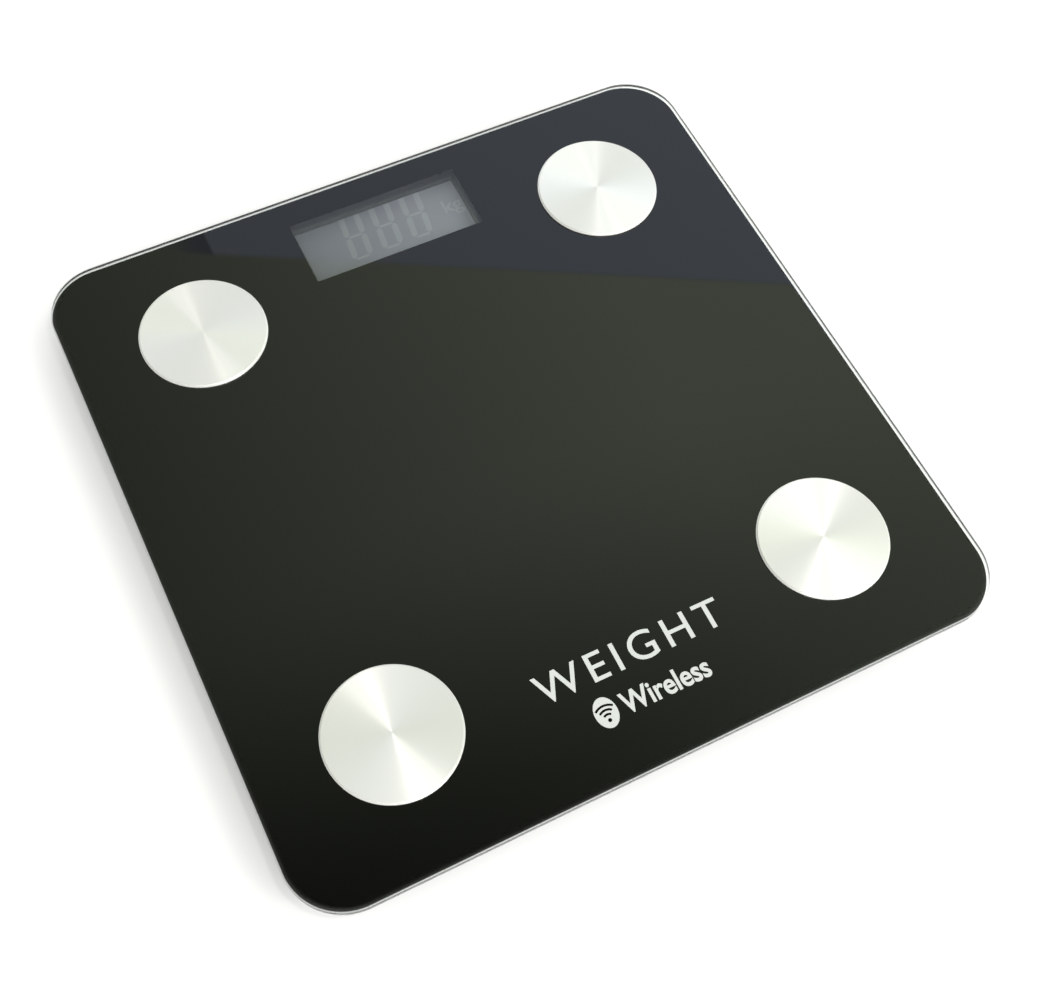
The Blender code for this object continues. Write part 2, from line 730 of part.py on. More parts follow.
# Stations of the wires. Those of the electrodes and the load cells are on the right-hand side,
# and the left-hand wires mirror them.
ELECTRODE_ROUTES = {
    "front": [
        (0.0913, -0.0933, 0.0187),
        (0.0860, -0.0870, 0.0172),
        (0.0780, -0.0700, 0.0112),
        (0.0640, -0.0050, 0.0112),
        (0.0520, 0.0600, 0.0112),
        (0.0400, 0.0780, 0.0112),
        (0.0350, 0.0865, 0.0102),
    ],
    "rear": [
        (0.0902, 0.0980, 0.0187),
        (0.0850, 0.0980, 0.0172),
        (0.0720, 0.0990, 0.0120),
        (0.0560, 0.1000, 0.0110),
        (0.0462, 0.1000, 0.0102),
    ],
}
CELL_ROUTES = {
    "front": [
        (0.1160, -0.1125, 0.0143),
        (0.1120, -0.1060, 0.0166),
        (0.1050, -0.0880, 0.0158),
        (0.0950, -0.0600, 0.0112),
        (0.0760, 0.0100, 0.0112),
        (0.0560, 0.0700, 0.0112),
        (0.0410, 0.0865, 0.0102),
    ],
    "rear": [
        (0.1160, 0.1125, 0.0143),
        (0.1120, 0.1060, 0.0166),
        (0.1040, 0.0900, 0.0158),
        (0.0880, 0.0850, 0.0120),
        (0.0640, 0.0880, 0.0110),
        (0.0462, 0.0930, 0.0102),
    ],
}


PLUS_ROUTE = [
    (0.0296, 0.0716, 0.0120),
    (0.0322, 0.0745, 0.0116),
    (0.0322, 0.0810, 0.0110),
    (0.0285, 0.0865, 0.0102),
]
MINUS_ROUTE = [
    (-0.0296, 0.0484, 0.0120),
    (-0.0334, 0.0530, 0.0110),
    (-0.0340, 0.0700, 0.0110),
    (-0.0285, 0.0865, 0.0102),
]


def main():
    clear_scene()
    build_glass()
    build_bonding_tape()
    build_base_shell()
    for corner, (_, end) in CORNERS.items():
        half = "front" if end < 0 else "rear"
        build_electrode(corner)
        build_electrode_fixing(corner, ELECTRODE_ROUTES[half])
        build_load_cell(corner)
        build_cell_lead(corner, CELL_ROUTES[half])
        build_foot(corner)
    build_board()
    build_display()
    build_batteries()


main()
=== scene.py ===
import math

import bmesh
import bpy
from mathutils import Matrix, Quaternion, Vector


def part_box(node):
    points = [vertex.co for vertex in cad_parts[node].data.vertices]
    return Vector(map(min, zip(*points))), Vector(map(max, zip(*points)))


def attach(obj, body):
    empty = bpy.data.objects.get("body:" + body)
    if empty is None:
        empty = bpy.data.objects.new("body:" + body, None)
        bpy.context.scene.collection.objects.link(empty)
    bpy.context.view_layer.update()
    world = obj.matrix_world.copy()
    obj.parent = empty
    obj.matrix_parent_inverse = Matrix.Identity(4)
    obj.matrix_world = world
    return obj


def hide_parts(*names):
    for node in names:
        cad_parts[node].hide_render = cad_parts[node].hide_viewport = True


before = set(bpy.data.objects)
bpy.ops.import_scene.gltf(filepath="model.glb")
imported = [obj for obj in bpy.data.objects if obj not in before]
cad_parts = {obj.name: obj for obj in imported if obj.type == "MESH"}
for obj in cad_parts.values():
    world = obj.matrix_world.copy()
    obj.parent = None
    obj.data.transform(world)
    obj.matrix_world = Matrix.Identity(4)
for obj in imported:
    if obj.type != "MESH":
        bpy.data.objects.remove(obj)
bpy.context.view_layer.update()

# ---------------------------------------------------------------- camera
# The scale is seen from above, over its front left corner, with a normal lens and a slight roll.
# The camera aims at a point on the platform's face.
face_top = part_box("glass_platform")[1].z
camera_place = Vector((-0.1464, -0.2552, face_top + 0.5136))
camera_target = Vector((-0.0087, -0.0290, face_top))
camera_roll = math.radians(5.56)

camera = bpy.data.objects.new("camera", bpy.data.cameras.new("camera"))
camera.data.lens = 50.0
camera.data.sensor_width = 36.0
camera.data.clip_start = 0.01
camera.data.clip_end = 100.0
camera.rotation_mode = "QUATERNION"
camera.location = camera_place
aim = (camera_target - camera_place).to_track_quat("-Z", "Y")
camera.rotation_quaternion = aim @ Quaternion((0.0, 0.0, 1.0), camera_roll)
bpy.context.scene.collection.objects.link(camera)
bpy.context.scene.camera = camera
bpy.context.scene.view_settings.view_transform = "Standard"


# ---------------------------------------------------------------- studio
# A white table, a soft room all round it, and two lamps on the person's side.
# The room's walls are brightest at the front and the right, and dim towards the horizon. It is olive
# overhead, brighter to the right, with a blue-grey window wall beyond a slanting edge.


class Signal:
    """An output socket of a node tree. Arithmetic on it adds Math nodes to that tree."""

    def __init__(self, look, socket):
        self.look, self.socket = look, socket

    def maths(self, operation, first, second):
        return self.look.node("ShaderNodeMath", {"operation": operation}, {0: first, 1: second})

    def __add__(self, other):
        return self.maths("ADD", self, other)

    __radd__ = __add__

    def __sub__(self, other):
        return self.maths("SUBTRACT", self, other)

    def __rsub__(self, other):
        return self.maths("SUBTRACT", other, self)

    def __mul__(self, other):
        return self.maths("MULTIPLY", self, other)

    __rmul__ = __mul__

    def __truediv__(self, other):
        return self.maths("DIVIDE", self, other)

    def above(self, start, width):
        """0 below start, 1 from start plus width on, and smooth between them."""
        settings = {"interpolation_type": "SMOOTHSTEP"}
        inputs = {"Value": self, "From Min": start, "From Max": start + width}
        return self.look.node("ShaderNodeMapRange", settings, inputs)

    def at_least(self, floor):
        return self.maths("MAXIMUM", self, floor)

    def at_most(self, ceiling):
        return self.maths("MINIMUM", self, ceiling)


class Look:
    """The node tree of a material or of the room, with its main shader."""

    def __init__(self, owner, shader, inputs=None):
        owner.use_nodes = True
        self.owner, self.tree = owner, owner.node_tree
        self.shader = self.tree.nodes[shader]
        self.feed(self.shader, inputs or {})

    def feed(self, node, inputs):
        for key, value in inputs.items():
            if isinstance(value, Signal):
                self.tree.links.new(value.socket, node.inputs[key])
            else:
                node.inputs[key].default_value = value

    def node(self, kind, settings=None, inputs=None, output=0):
        made = self.tree.nodes.new(kind)
        for key, value in (settings or {}).items():
            setattr(made, key, value)
        self.feed(made, inputs or {})
        return Signal(self, made.outputs[output])

    def blend(self, share, first, second):
        """A colour that goes from first to second as share goes from 0 to 1."""
        inputs = {0: share, 6: first, 7: second}
        return self.node("ShaderNodeMix", {"data_type": "RGBA"}, inputs, output=2)

    def noise(self, scale, detail):
        """A cloudy pattern through a piece, about 1 / scale metres from cloud to cloud."""
        place = self.node("ShaderNodeTexCoord", output="Object")
        inputs = {"Vector": place, "Scale": scale, "Detail": detail}
        return self.node("ShaderNodeTexNoise", None, inputs)

    def bump(self, height, strength, depth):
        """A normal that is tilted as if the pattern were cut up to depth metres into the surface."""
        inputs = {"Height": height, "Strength": strength, "Distance": depth}
        return self.node("ShaderNodeBump", None, inputs)


def rgb(red, green, blue):
    return (red, green, blue, 1.0)


def finish(name, inputs):
    """A new material, with the values of its Principled BSDF that are even all over."""
    return Look(bpy.data.materials.new(name), "Principled BSDF", inputs)


room = bpy.data.worlds.new("soft_room")
bpy.context.scene.world = room
sky = Look(room, "Background")
way = sky.node("ShaderNodeTexCoord", output="Generated")
across, along, up = (
    sky.node("ShaderNodeSeparateXYZ", None, {0: way}, output=letter) for letter in "XYZ"
)

# Where the direction meets a level ceiling that is one unit up. Starts and widths are places on it.
flattest = 0.02
steepness = up.at_least(flattest)
ceiling_x, ceiling_y = across / steepness, along / steepness

# The ceiling gets brighter to the right, and a person's shade dims it at the near left.
left_level, right_level, level_slope = 0.48, 1.15, 1.87
person_dimming = 0.78
right_side = (left_level + level_slope * across).at_least(left_level).at_most(right_level)
not_far, not_right = 1.0 - ceiling_y.above(0.19, 0.29), 1.0 - ceiling_x.above(0.03, 0.88)
person = not_far * not_right
overhead_level = right_side * (1.0 - person_dimming * person)

# The window wall lies beyond a slanting edge, and its blue starts a little before its brightness.
window_slant = 0.535
window_middle_level, window_slope = 0.95, 0.62
tint_dimming = 0.25
window_edge = (ceiling_y + window_slant * ceiling_x).above(0.829, 0.008)
window_tint = window_edge * ceiling_x.above(0.10, 0.034)
window = window_edge * ceiling_x.above(0.1365, 0.003)
window_level = window_middle_level + window_slope * across
overhead_level = overhead_level * (1.0 - tint_dimming * window_tint)
overhead_level = overhead_level + window * (window_level - overhead_level)
olive, blue_grey = rgb(0.90, 1.0, 0.78), rgb(0.79, 0.87, 1.0)
overhead_colour = sky.blend(window_tint, olive, blue_grey)

# The ceiling is round, with its middle behind the scale and to the right. Past its edge are the walls.
ceiling_middle_x, ceiling_middle_y = 0.285, 0.50
wall_middle_level, wall_slope = 1.7, 0.8
horizon_share = 0.3
wall_white = rgb(1.0, 1.0, 0.99)
from_middle_x, from_middle_y = ceiling_x - ceiling_middle_x, ceiling_y - ceiling_middle_y
from_middle_squared = from_middle_x * from_middle_x + from_middle_y * from_middle_y
aside = from_middle_squared.above(0.22, 0.45)
wall_height = horizon_share + (1.0 - horizon_share) * up.above(0.05, 0.45)
wall_level = (wall_middle_level + wall_slope * across - wall_slope * along) * wall_height
level = overhead_level + aside * (wall_level - overhead_level)
colour = sky.blend(aside, overhead_colour, wall_white)
sky.feed(sky.shader, {"Color": colour, "Strength": level})

table_radius = 40.0
table_mesh = bpy.data.meshes.new("table")
bm = bmesh.new()
bmesh.ops.create_circle(bm, cap_ends=True, segments=64, radius=table_radius)
bm.to_mesh(table_mesh)
bm.free()
table = bpy.data.objects.new("table", table_mesh)
bpy.context.scene.collection.objects.link(table)
white_table = finish(
    "white_table", {"Base Color": rgb(0.9, 0.9, 0.9), "Roughness": 0.9, "Specular IOR Level": 0.0}
)
table_mesh.materials.append(white_table.owner)


def lamp(name, place, size, energy, colour):
    """A round lamp that is aimed at the middle of the scale."""
    light = bpy.data.lights.new(name, "AREA")
    light.shape = "DISK"
    light.size = size
    light.energy = energy
    light.color = colour
    thing = bpy.data.objects.new(name, light)
    thing.location = place
    thing.rotation_mode = "QUATERNION"
    thing.rotation_quaternion = (-Vector(place)).to_track_quat("-Z", "Y")
    bpy.context.scene.collection.objects.link(thing)


lamp("soft_lamp", (0.45, -0.95, 1.05), size=0.35, energy=2.7, colour=(1.0, 0.99, 0.96))
lamp("small_lamp", (-0.01, -0.36, 0.95), size=0.02, energy=0.9, colour=(1.0, 0.96, 0.9))


# ---------------------------------------------------------------- glass platform
# One square sheet of clear tempered glass with round corners. Its edge is polished flat and eased
# above and below. Over the black print the face and its backing show as one surface, with clear
# glass left along the rim and over the display.
edge_ease = 0.0005
corner_radius = 0.024
corner_steps = 28
rim_width = 0.0025
stud_bore = 0.0025
bore_steps = 24
tool_reach = 0.001  # how far a cutting tool stands past the face that it cuts
tool_foot = 0.01  # a height below the glass and above the floor
level_up = 0.9999  # the least upward share of a level face's normal
hair = 1e-7
weld = 1e-6
smooth_angle = 30.0
window_centre = Vector((-0.0007, 0.1188))
window_half = Vector((0.0395, 0.0162))
window_low, window_high = window_centre - window_half, window_centre + window_half
glass_low, glass_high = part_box("glass_platform")

corners = ("front_left", "front_right", "rear_left", "rear_right")
disc_boxes = {corner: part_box("electrode_" + corner) for corner in corners}
disc_centres = {corner: (low + high) / 2 for corner, (low, high) in disc_boxes.items()}


def plate(low, high, corner=0.0, steps=1, rim=0.0, rim_steps=1):
    """A slab with upright edges rounded by corner, and level edges bevelled by rim."""
    low, high = Vector(low), Vector(high)
    bm = bmesh.new()
    bmesh.ops.create_cube(bm, size=1.0)
    bmesh.ops.scale(bm, vec=high - low, verts=bm.verts)
    bmesh.ops.translate(bm, vec=(low + high) / 2, verts=bm.verts)
    settings = {"offset_type": "OFFSET", "profile": 0.5, "affect": "EDGES", "material": -1}
    if corner:
        upright = [e for e in bm.edges if abs(e.verts[0].co.z - e.verts[1].co.z) > hair]
        bmesh.ops.bevel(bm, geom=upright, offset=corner, segments=steps, **settings)
    if rim:
        level = [e for e in bm.edges if abs(e.verts[0].co.z - e.verts[1].co.z) < hair]
        bmesh.ops.bevel(bm, geom=level, offset=rim, segments=rim_steps, **settings)
    return bm


def turned(profile, centre, steps):
    """A solid of revolution about an upright axis.

    The profile is a list of (radius, height) points that starts and ends on the axis.
    """
    bm = bmesh.new()
    line = [bm.verts.new((centre[0] + radius, centre[1], height)) for radius, height in profile]
    edges = [bm.edges.new(pair) for pair in zip(line, line[1:])]
    bmesh.ops.spin(
        bm,
        geom=[*line, *edges],
        cent=(centre[0], centre[1], 0.0),
        axis=(0.0, 0.0, 1.0),
        angle=2 * math.pi,
        steps=steps,
        use_merge=True,
    )
    bmesh.ops.remove_doubles(bm, verts=bm.verts, dist=weld)
    bmesh.ops.recalc_face_normals(bm, faces=bm.faces)
    return bm


def bore(centre, radius, top):
    """A round tool that goes down through the glass or its print at a stud."""
    profile = [(0.0, top), (radius, top), (radius, tool_foot), (0.0, tool_foot)]
    return turned(profile, centre, bore_steps)


def shown(bm, name, look, sharp=smooth_angle):
    """A new object from the bmesh, smooth up to an angle in degrees."""
    mesh = bpy.data.meshes.new(name)
    bm.to_mesh(mesh)
    bm.free()
    mesh.shade_smooth()
    mesh.set_sharp_from_angle(angle=math.radians(sharp))
    mesh.materials.append(look.owner)
    thing = bpy.data.objects.new(name, mesh)
    bpy.context.scene.collection.objects.link(thing)
    return thing


def less(thing, *tools):
    """Cuts bmesh tools out of a piece."""
    for bm in tools:
        mesh = bpy.data.meshes.new("tool")
        bm.to_mesh(mesh)
        bm.free()
        tool = bpy.data.objects.new("tool", mesh)
        bpy.context.scene.collection.objects.link(tool)
        boolean = thing.modifiers.new("cut", "BOOLEAN")
        boolean.operation = "DIFFERENCE"
        boolean.object = tool
        bpy.context.view_layer.update()
        graph = bpy.context.evaluated_depsgraph_get()
        result = bpy.data.meshes.new_from_object(thing.evaluated_get(graph))
        thing.modifiers.clear()
        thing.data = result
        bpy.data.objects.remove(tool)
    thing.data.shade_smooth()
    thing.data.set_sharp_from_angle(angle=math.radians(smooth_angle))


def fit(piece, body, slot, *nodes):
    """Puts a piece on its body, in place of the plain solids it stands for."""
    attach(piece, body)
    if nodes:
        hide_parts(*nodes)


clear_glass = finish(
    "clear_glass",
    {"Base Color": rgb(0.99, 1.0, 0.995), "Roughness": 0.0, "IOR": 1.5, "Transmission Weight": 1.0},
)
eased_glass = finish(
    "eased_glass_edge", {"Base Color": rgb(0.95, 0.97, 0.96), "IOR": 1.5, "Transmission Weight": 0.7}
)
grit = eased_glass.noise(2500.0, 2.0)
eased_glass.feed(eased_glass.shader, {"Roughness": 0.20 + 0.20 * grit})

# Polished glass with ink right behind it, as one solid surface.
backed_glass = finish("black_backed_glass", {"Roughness": 0.0, "IOR": 1.5})
backing = backed_glass.blend(
    backed_glass.noise(9.0, 3.0), rgb(0.0006, 0.0007, 0.0006), rgb(0.0012, 0.0013, 0.0011)
)
backed_glass.feed(backed_glass.shader, {"Base Color": backing})

sheet_looks = (clear_glass, backed_glass, eased_glass)
CLEAR, BACKED, EASED = range(len(sheet_looks))

sheet = plate(glass_low, glass_high, corner_radius, corner_steps, edge_ease, rim_steps=2)
face = [f for f in sheet.faces if f.normal.z > level_up]
bmesh.ops.inset_region(sheet, faces=face, thickness=rim_width)
face[0].material_index = BACKED
for window_corner in (window_low, window_high):
    for normal in ((1.0, 0.0, 0.0), (0.0, 1.0, 0.0)):
        backed = [f for f in sheet.faces if f.material_index == BACKED]
        around = {part for f in backed for part in (*f.edges, *f.verts)}
        cut_place = (*window_corner, glass_high.z)
        bmesh.ops.bisect_plane(
            sheet, geom=[*backed, *around], plane_co=cut_place, plane_no=normal, dist=hair
        )
for f in sheet.faces:
    middle = f.calc_center_median()
    if 0.1 < abs(f.normal.z) < 0.99:  # neither upright nor level
        f.material_index = EASED
    elif all(low < at < high for low, at, high in zip(window_low, middle.xy, window_high)):
        f.material_index = CLEAR
glass = shown(sheet, "glass_sheet", clear_glass)
for look in sheet_looks[1:]:
    glass.data.materials.append(look.owner)
less(glass, *(bore(centre, stud_bore, glass_high.z + tool_reach) for centre in disc_centres.values()))
fit(glass, "platform", "black_backed_glass", "glass_platform")


# ---------------------------------------------------------------- printed back
# The underside of the glass is printed black, in one thin coat that stops just short of the edge and
# sits a little to the left. A ring round each stud is left clear, and so is an opening for the
# display, a little larger than the window in the face, so that the window has one edge.
ink_thick = 0.00008
print_inset = 0.0008
print_shift = -0.0003
opening_margin = 0.003
clear_ring = 0.0031
ink_low = glass_low.z - ink_thick / 2
ink_high = glass_low.z + ink_thick / 2

black_ink = finish("black_ink", {"Specular IOR Level": 0.0, "Roughness": 0.6})
ink_tone = black_ink.blend(
    black_ink.noise(9.0, 3.0), rgb(0.0032, 0.0033, 0.0030), rgb(0.0038, 0.0039, 0.0036)
)
black_ink.feed(black_ink.shader, {"Base Color": ink_tone})

print_low = (glass_low.x + print_inset + print_shift, glass_low.y + print_inset, ink_low)
print_high = (glass_high.x - print_inset + print_shift, glass_high.y - print_inset, ink_high)
coat = plate(print_low, print_high, corner_radius - print_inset, corner_steps)
back_print = shown(coat, "back_print", black_ink)

margin = Vector((opening_margin, opening_margin))
opening_low = (*(window_low - margin), ink_low - tool_reach)
opening_high = (*(window_high + margin), ink_high + tool_reach)
stud_rings = [bore(centre, clear_ring, ink_high + tool_reach) for centre in disc_centres.values()]
less(back_print, plate(opening_low, opening_high), *stud_rings)
fit(back_print, "platform", "black_epoxy")


# ---------------------------------------------------------------- printed words
# Two lines in pale enamel, fired onto the face of the glass: a plain word in wide thin capitals,
# and under it a small oval badge with radio waves beside a short bold word.
enamel_low = glass_high.z - 0.00001
enamel_high = glass_high.z + 0.00002
badge_centre = Vector((-0.0187, -0.1230, 0.0))
badge_half = Vector((0.00465, 0.0063, 1.0))
wave_foot = badge_centre - Vector((0.0, 0.0032, 0.0))
wave_radii = (0.0024, 0.0042, 0.0060)
wave_half_width = 0.00045
wave_half_angle = math.radians(38)
wave_half_thick = 0.00001
dot_radius = 0.0008

pale_enamel = finish("pale_enamel", {"Roughness": 0.25})
enamel_tone = pale_enamel.blend(
    pale_enamel.noise(1800.0, 2.0), rgb(0.47, 0.49, 0.47), rgb(0.55, 0.57, 0.55)
)
pale_enamel.feed(pale_enamel.shader, {"Base Color": enamel_tone})


def raised(bm, low, high):
    """Gives flat faces a thickness, between two levels."""
    for vert in bm.verts:
        vert.co.z = low
    grown = bmesh.ops.extrude_face_region(bm, geom=bm.faces[:])["geom"]
    top = [part for part in grown if isinstance(part, bmesh.types.BMVert)]
    bmesh.ops.translate(bm, vec=(0.0, 0.0, high - low), verts=top)
    bmesh.ops.recalc_face_normals(bm, faces=bm.faces)
    return bm


def lettering(words, low, high, spacing, weight):
    """Flat faces in the shape of words, fitted between two corners."""
    curve = bpy.data.curves.new("words", "FONT")
    curve.body = words
    curve.space_character = spacing
    curve.offset = weight
    curve.resolution_u = 6
    thing = bpy.data.objects.new("words", curve)
    bpy.context.scene.collection.objects.link(thing)
    bpy.context.view_layer.update()
    graph = bpy.context.evaluated_depsgraph_get()
    mesh = bpy.data.meshes.new_from_object(thing.evaluated_get(graph))
    bpy.data.objects.remove(thing)
    bm = bmesh.new()
    bm.from_mesh(mesh)
    bmesh.ops.remove_doubles(bm, verts=bm.verts, dist=weld)
    left, right = min(v.co.x for v in bm.verts), max(v.co.x for v in bm.verts)
    foot, head = min(v.co.y for v in bm.verts), max(v.co.y for v in bm.verts)
    bmesh.ops.translate(bm, vec=(-left, -foot, 0.0), verts=bm.verts)
    size = ((high[0] - low[0]) / (right - left), (high[1] - low[1]) / (head - foot), 1.0)
    bmesh.ops.scale(bm, vec=size, verts=bm.verts)
    bmesh.ops.translate(bm, vec=(low[0], low[1], 0.0), verts=bm.verts)
    return bm


def enamel(bm, name):
    """Fires a flat shape onto the glass in pale enamel."""
    piece = shown(raised(bm, enamel_low, enamel_high), name, pale_enamel)
    fit(piece, "platform", "white_insulation")


upper_word = lettering("WEIGHT", (-0.039, -0.111), (0.041, -0.099), spacing=1.25, weight=0.003)
enamel(upper_word, "upper_word")
lower_word = lettering("Wireless", (-0.012, -0.1274), (0.0255, -0.1186), spacing=1.0, weight=0.022)
enamel(lower_word, "lower_word")

badge = bmesh.new()
bmesh.ops.create_circle(badge, cap_ends=True, segments=64, radius=1.0)
bmesh.ops.scale(badge, vec=badge_half, verts=badge.verts)
bmesh.ops.translate(badge, vec=badge_centre, verts=badge.verts)
enamel(badge, "badge_oval")

waves = bmesh.new()
dot_place = Matrix.Translation(wave_foot)
bmesh.ops.create_circle(waves, cap_ends=True, segments=20, radius=dot_radius, matrix=dot_place)
for radius in wave_radii:
    arm = Matrix.Rotation(-wave_half_angle, 3, "Z") @ Vector((0.0, radius, 0.0))
    outward = arm.normalized() * wave_half_width
    ends = [waves.verts.new(wave_foot + arm + side * outward) for side in (-1, 1)]
    bmesh.ops.spin(
        waves,
        geom=[*ends, waves.edges.new(ends)],
        cent=wave_foot,
        axis=(0.0, 0.0, 1.0),
        angle=2 * wave_half_angle,
        steps=16,
    )
raised(waves, enamel_high - wave_half_thick, enamel_high + wave_half_thick)
fit(shown(waves, "badge_waves", black_ink), "platform", "black_epoxy")


# ---------------------------------------------------------------- electrodes
# Four discs of stainless steel with a stud that goes through the glass. The face is turned on a
# lathe and stands a little above a narrow rounded rim. The turning leaves fine rings, so the light
# spreads into fans across the face.
disc_radius = 0.027
disc_steps = 144
rim_breadth = 0.0006
rim_drop = 0.0004
rim_round = 0.0003
rim_round_steps = 5
face_ease = 0.0001
face_rings = 6
under_gap = 0.0002
stud_radius = 0.0015
rings_per_metre = 5200.0

spun_steel = finish(
    "spun_steel",
    {
        "Base Color": rgb(0.83, 0.83, 0.80),
        "Metallic": 0.8,
        "Anisotropic": 0.95,
        "Anisotropic Rotation": 0.25,
    },
)
disc_place = spun_steel.node("ShaderNodeTexCoord", output="Object")


def spun_vector(operation, *inputs, output="Vector"):
    """One step of vector arithmetic in the steel's material."""
    settings = {"operation": operation}
    return spun_steel.node("ShaderNodeVectorMath", settings, dict(enumerate(inputs)), output)


distances = []
for centre in disc_centres.values():
    shift = spun_vector("SUBTRACT", disc_place, (centre.x, centre.y, 0.0))
    flat = spun_vector("MULTIPLY", shift, (1.0, 1.0, 0.0))
    distances.append(spun_vector("LENGTH", flat, output="Value"))
from_centre = distances[0]
for distance in distances[1:]:
    from_centre = from_centre.at_most(distance)
rings = spun_steel.node(
    "ShaderNodeTexNoise",
    {"noise_dimensions": "1D"},
    {"W": from_centre * rings_per_metre, "Scale": 1.0, "Detail": 3.0},
)
scored = spun_steel.bump(rings, 0.08, 0.00005)
spun_steel.feed(spun_steel.shader, {"Roughness": 0.34 + 0.08 * rings, "Normal": scored})

step = disc_radius - rim_breadth
for corner in corners:
    low, high = disc_boxes[corner]
    under, top = glass_high.z + under_gap, high.z
    disc_face = [(step * n / face_rings, top) for n in range(face_rings)]
    disc_face += [(step - face_ease, top), (step, top - face_ease), (step, top - rim_drop)]
    turns = [math.radians(90 * n / rim_round_steps) for n in range(rim_round_steps + 1)]
    rim = [
        (disc_radius - rim_round * (1 - math.sin(t)), top - rim_drop - rim_round * (1 - math.cos(t)))
        for t in turns
    ]
    stud = [(disc_radius, under), (stud_radius, under), (stud_radius, low.z), (0.0, low.z)]
    disc = turned([*disc_face, *rim, *stud], disc_centres[corner], disc_steps)
    fit(shown(disc, "disc_" + corner, spun_steel), "platform", "spun_steel", "electrode_" + corner)


# ---------------------------------------------------------------- display
# A grey liquid-crystal cell, seen a little way down a moulded frame through the clear window.
# It is switched off, so its slanted segments show only as faint paler bars. The cell and its bars
# are painted paler towards the right, as painted light from the brighter right side of the room.
upright_width = 0.0027
level_width = 0.0012
segment_gap = 0.0003
segment_thick = 0.00005
digit_half_height = 0.0120
digit_half_width = 0.00365
digit_pitch = 0.0146
digit_slant = math.tan(math.radians(6.5))
digits_middle = (0.0010, 0.1246)
cell_corner = 0.0006
cell_ease = 0.00015
film_thick = 0.00015
film_drop = 0.00006
film_inset = Vector((0.0015, 0.0012))
film_corner = 0.0008
# The painted light grows across the cell from this x, over this width.
painted_light_start, painted_light_width = -0.034, 0.064
lcd_low, lcd_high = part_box("lcd_panel")


def display_grey(name, roughness, cloud_scale, shaded_left_tones, lit_right_tones):
    """A grey in faint clouds, painted from two left tones to two paler right tones across the cell as
    painted light.
    """
    look = finish(name, {"Roughness": roughness, "Specular IOR Level": 0.2})
    cloud = look.noise(cloud_scale, 2.0)
    place = look.node("ShaderNodeTexCoord", output="Object")
    # The share of painted light, from none at the left of the cell to all of it at the right.
    painted_light_share = look.node("ShaderNodeSeparateXYZ", None, {0: place}).above(painted_light_start, painted_light_width)
    left, right = look.blend(cloud, *shaded_left_tones), look.blend(cloud, *lit_right_tones)
    look.feed(look.shader, {"Base Color": look.blend(painted_light_share, left, right)})
    return look


lcd_grey = display_grey(
    "lcd_grey",
    0.25,
    60.0,
    (rgb(0.173, 0.184, 0.212), rgb(0.186, 0.198, 0.229)),
    (rgb(0.268, 0.283, 0.322), rgb(0.284, 0.300, 0.341)),
)
ghost = display_grey(
    "lcd_segment",
    0.3,
    150.0,
    (rgb(0.221, 0.233, 0.252), rgb(0.240, 0.252, 0.271)),
    (rgb(0.332, 0.346, 0.378), rgb(0.350, 0.365, 0.398)),
)

film_foot = lcd_high.z - film_thick
cell = plate(lcd_low, (*lcd_high.xy, film_foot), cell_corner, 3, cell_ease)
fit(shown(cell, "lcd_cell", lcd_grey), "platform", "grey_lcd", "lcd_panel")
film_low = (*(lcd_low.xy + film_inset), film_foot)
film_high = (*(lcd_high.xy - film_inset), lcd_high.z - film_drop)
film = plate(film_low, film_high, film_corner, 4)
fit(shown(film, "lcd_film", lcd_grey), "platform", "grey_lcd")


def bar(bm, start, end, width):
    """A flat bar with pointed ends between two points."""
    start, end = Vector(start), Vector(end)
    run = (end - start).normalized()
    side = Vector((-run.y, run.x)) * width / 2
    tip = run * width / 2
    points = (start, start + tip + side, end - tip + side, end, end - tip - side, start + tip - side)
    bm.faces.new([bm.verts.new((*point, 0.0)) for point in points])


segments = bmesh.new()
levels = (-digit_half_height, 0.0, digit_half_height)
for n in (-1, 0, 1):
    x = digits_middle[0] + n * digit_pitch
    left, right = x - digit_half_width, x + digit_half_width
    for low, high in zip(levels, levels[1:]):
        for side in (left, right):
            bar(segments, (side, low + segment_gap), (side, high - segment_gap), upright_width)
    for level in levels:
        bar(segments, (left + segment_gap, level), (right - segment_gap, level), level_width)
for vert in segments.verts:
    vert.co.x += vert.co.y * digit_slant
    vert.co.y += digits_middle[1]
unit_mark = lettering("kg", (0.0285, 0.1170), (0.0375, 0.1262), spacing=1.0, weight=0.01)
for bm, name in ((segments, "lcd_segments"), (unit_mark, "lcd_unit_mark")):
    raised(bm, lcd_high.z - segment_thick, lcd_high.z)
    fit(shown(bm, name, ghost), "platform", "grey_lcd")


# ---------------------------------------------------------------- base shell and feet
# A tray of black ABS with a fine spark texture, taped to the glass, with four wells for the feet and
# a battery bay. The feet are moulded caps that hold soft rubber pads, loose in the wells. The door,
# the unit button and the display's frame are moulded too.
moulding_angle = 35.0
merged_angle = 0.5


def remould(node, look, bevel, body, slot):
    """A copy of a solid in its place, with its facets merged and its edges eased."""
    bm = bmesh.new()
    bm.from_mesh(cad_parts[node].data)
    bmesh.ops.remove_doubles(bm, verts=bm.verts, dist=weld)
    bmesh.ops.dissolve_limit(
        bm, angle_limit=math.radians(merged_angle), verts=bm.verts, edges=bm.edges
    )
    piece = shown(bm, node + "_moulding", look, moulding_angle)
    eased = piece.modifiers.new("eased", "BEVEL")
    eased.width = bevel
    eased.segments = 2
    eased.limit_method = "ANGLE"
    eased.angle_limit = math.radians(moulding_angle)
    fit(piece, body, slot, node)


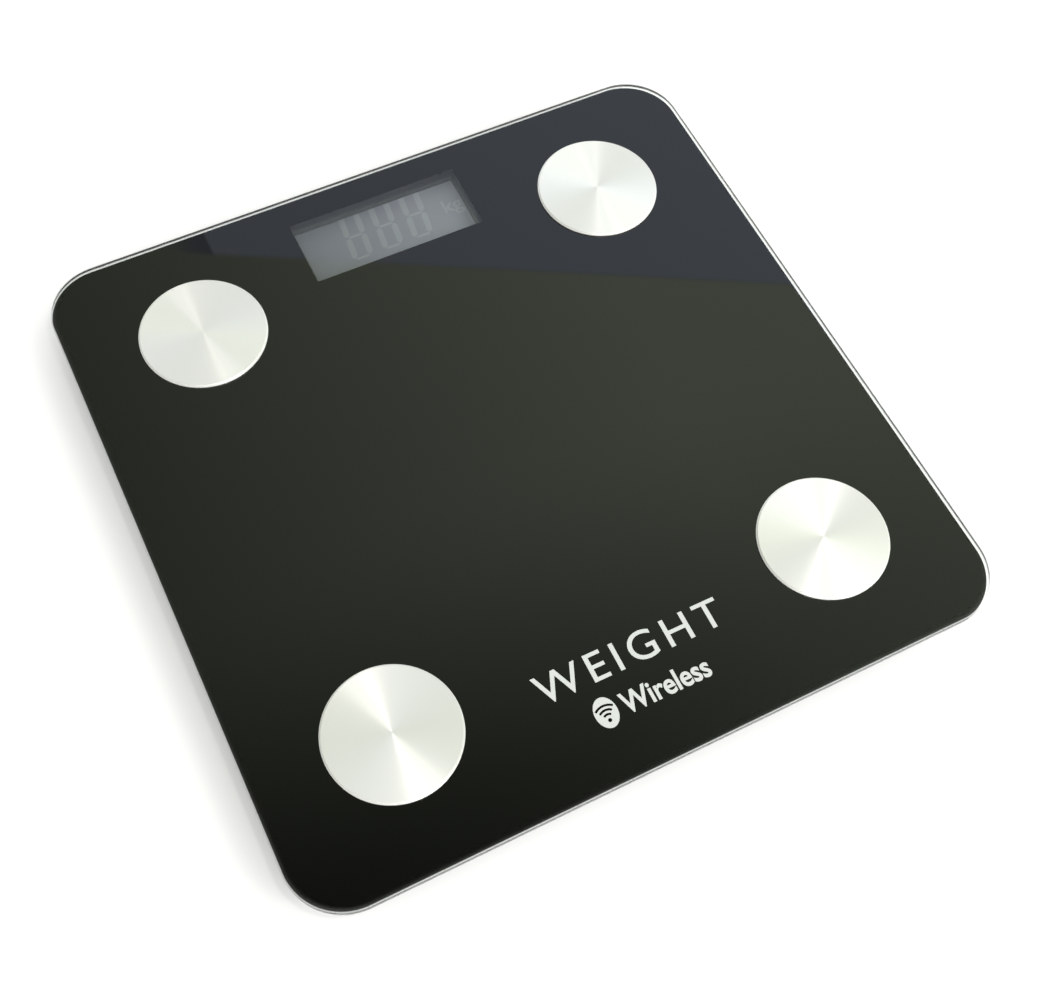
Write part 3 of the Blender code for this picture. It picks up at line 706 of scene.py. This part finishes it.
def moulded(name, dark, pale, roughness, grain_size):
    """A moulded plastic or rubber with a fine sparked grain and a slight unevenness of tone.

    The grain is 0.15 times as deep as it is wide, and moves the roughness by up to 0.08.
    """
    look = finish(name, {})
    grain = look.noise(1.0 / grain_size, 3.0)
    tone = look.noise(22.0, 2.0)
    inputs = {
        "Base Color": look.blend(tone, dark, pale),
        "Roughness": roughness - 0.08 + 0.16 * grain,
        "Normal": look.bump(grain, 0.35, grain_size * 0.15),
    }
    look.feed(look.shader, inputs)
    return look


black_abs = moulded("black_abs", rgb(0.018, 0.018, 0.019), rgb(0.026, 0.026, 0.027), 0.55, 0.0006)
soft_rubber = moulded("grey_rubber", rgb(0.09, 0.09, 0.092), rgb(0.13, 0.13, 0.132), 0.85, 0.0004)
grey_plastic = moulded("grey_moulding", rgb(0.040, 0.042, 0.048), rgb(0.052, 0.054, 0.060), 0.45, 0.0005)

remould("base_shell", black_abs, 0.00025, "platform", "black_abs")
for corner in corners:
    remould("foot_cap_" + corner, black_abs, 0.0002, "foot_" + corner, "black_abs")
    remould("foot_pad_" + corner, soft_rubber, 0.0002, "foot_" + corner, "grey_rubber")
remould("battery_door", black_abs, 0.00015, "door", "black_abs")
remould("lcd_frame", grey_plastic, 0.0002, "platform", "grey_moulding")
remould("unit_button", grey_plastic, 0.0002, "button", "grey_moulding")


# ---------------------------------------------------------------- inner parts
# The board, the load cells, the leads, the cells and the battery contacts keep the solids they have.
# Each gets the finish of the real thing: solder mask, epoxy, nickel plate, wire insulation or foam.


def plated(name, colour, roughness):
    """Sheet or wire metal with fine mill marks, which move the roughness by up to 0.06."""
    look = finish(name, {"Metallic": 1.0, "Base Color": colour})
    marks = look.noise(900.0, 4.0)
    inputs = {"Roughness": roughness - 0.06 + 0.12 * marks, "Normal": look.bump(marks, 0.2, 0.00004)}
    look.feed(look.shader, inputs)
    return look


nickel = plated("nickel_plate", rgb(0.70, 0.68, 0.62), 0.32)
sheet_steel = plated("sheet_steel", rgb(0.74, 0.74, 0.72), 0.28)
board_mask = moulded("green_board", rgb(0.010, 0.12, 0.05), rgb(0.02, 0.17, 0.07), 0.35, 0.0008)
epoxy = moulded("black_epoxy", rgb(0.015, 0.015, 0.016), rgb(0.025, 0.025, 0.026), 0.45, 0.0003)
diffuser = moulded("white_diffuser", rgb(0.80, 0.80, 0.77), rgb(0.86, 0.86, 0.83), 0.6, 0.0005)
sleeve = moulded("battery_sleeve", rgb(0.07, 0.15, 0.28), rgb(0.10, 0.20, 0.35), 0.3, 0.0009)
red_wire = moulded("red_insulation", rgb(0.52, 0.03, 0.02), rgb(0.62, 0.05, 0.03), 0.45, 0.0004)
black_wire = moulded("black_insulation", rgb(0.015, 0.015, 0.015), rgb(0.03, 0.03, 0.03), 0.45, 0.0004)
white_film = moulded("white_film", rgb(0.68, 0.68, 0.65), rgb(0.76, 0.76, 0.73), 0.5, 0.0005)
foam = moulded("white_foam", rgb(0.70, 0.70, 0.68), rgb(0.80, 0.80, 0.78), 0.95, 0.0003)

inner_finishes = {
    nickel: ("electrode_lead_", "electrode_nut_", "board_screw_", "battery_spring_", "battery_contact_"),
    sheet_steel: ("load_cell_", "radio_module"),
    board_mask: ("main_board",),
    epoxy: ("main_chip", "unit_switch"),
    diffuser: ("lcd_backlight",),
    soft_rubber: ("zebra_strip",),
    sleeve: tuple(f"battery_{n}" for n in (1, 2, 3)),
    red_wire: ("cell_lead_", "battery_lead_red"),
    black_wire: ("battery_lead_black",),
    white_film: ("strain_gauge_", "switch_plunger"),
    foam: ("bonding_tape",),
}
for look, starts in inner_finishes.items():
    for name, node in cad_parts.items():
        if name.startswith(starts):
            node.data.materials.clear()
            node.data.materials.append(look.owner)
